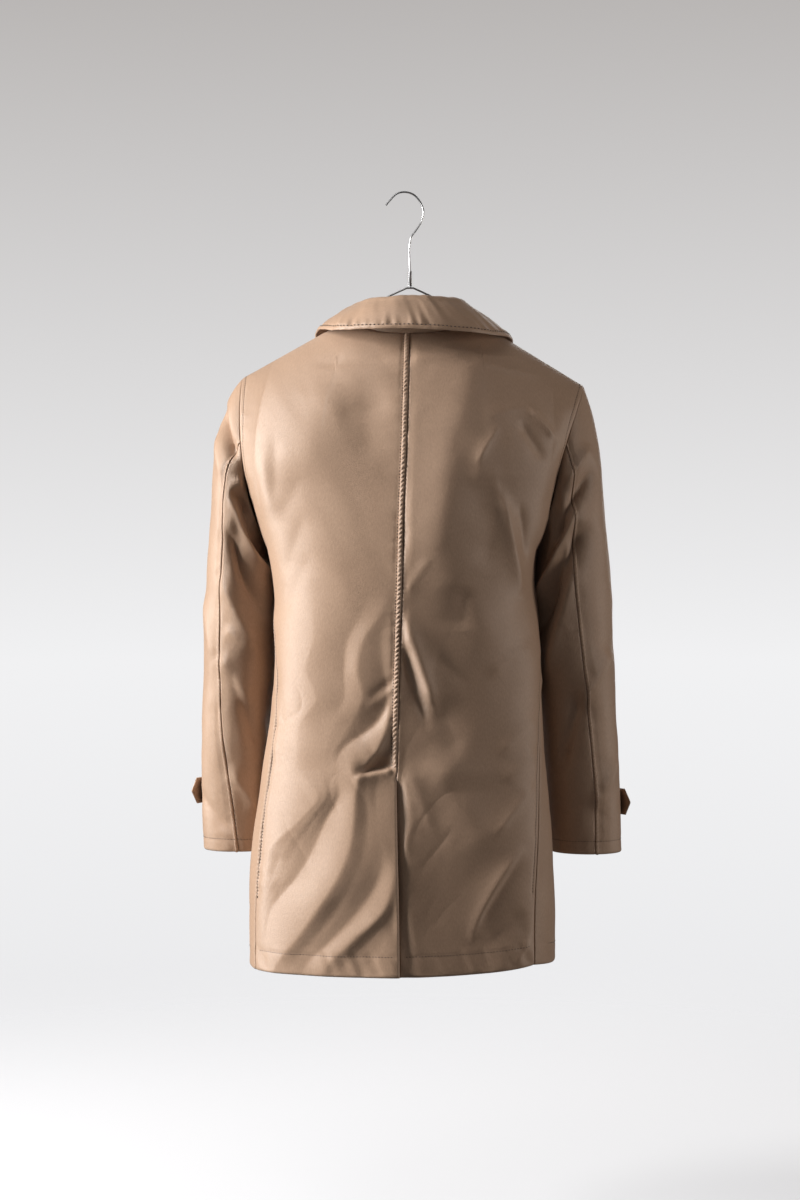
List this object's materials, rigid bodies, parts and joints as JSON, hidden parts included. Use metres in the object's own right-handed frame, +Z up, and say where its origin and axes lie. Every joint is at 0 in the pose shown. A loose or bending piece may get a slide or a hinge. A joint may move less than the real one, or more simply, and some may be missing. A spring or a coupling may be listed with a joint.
{
  "type": "padded coat on wire hanger",
  "caption": "Thigh-length padded coat with a fold-down collar, set-in sleeves with cuff tabs and an overlapping back vent, hanging closed on a wire hanger.",
  "frame": {"origin": "the point inside the top of the hook that bears on whatever the hanger hangs from", "axes": "+Z up, +X towards the wearer's right, +Y towards the coat's front, so the back faces -Y"},
  "size_m": [0.622, 0.3062, 1.061],
  "materials": {
    "cloth": "tan satin-faced cotton with a soft sheen",
    "horn": "dark brown polished",
    "steel": "bright drawn wire"
  },
  "bodies": {
    "root": {"back_left": "cloth", "back_right": "cloth", "vent_underlap": "cloth", "front_left": "cloth", "front_right": "cloth", "sleeve_upper_left": "cloth", "sleeve_upper_right": "cloth", "sleeve_under_left": "cloth", "sleeve_under_right": "cloth", "collar_stand": "cloth", "collar_fall": "cloth", "cuff_tab_left": "cloth", "cuff_tab_right": "cloth", "cuff_button_left": "horn", "cuff_button_right": "horn", "front_button_1": "horn", "front_button_2": "horn", "front_button_3": "horn", "front_button_4": "horn", "hanger_hook": "steel", "hanger_twist": "steel", "hanger_frame": "steel"}
  },
  "joints": []
}
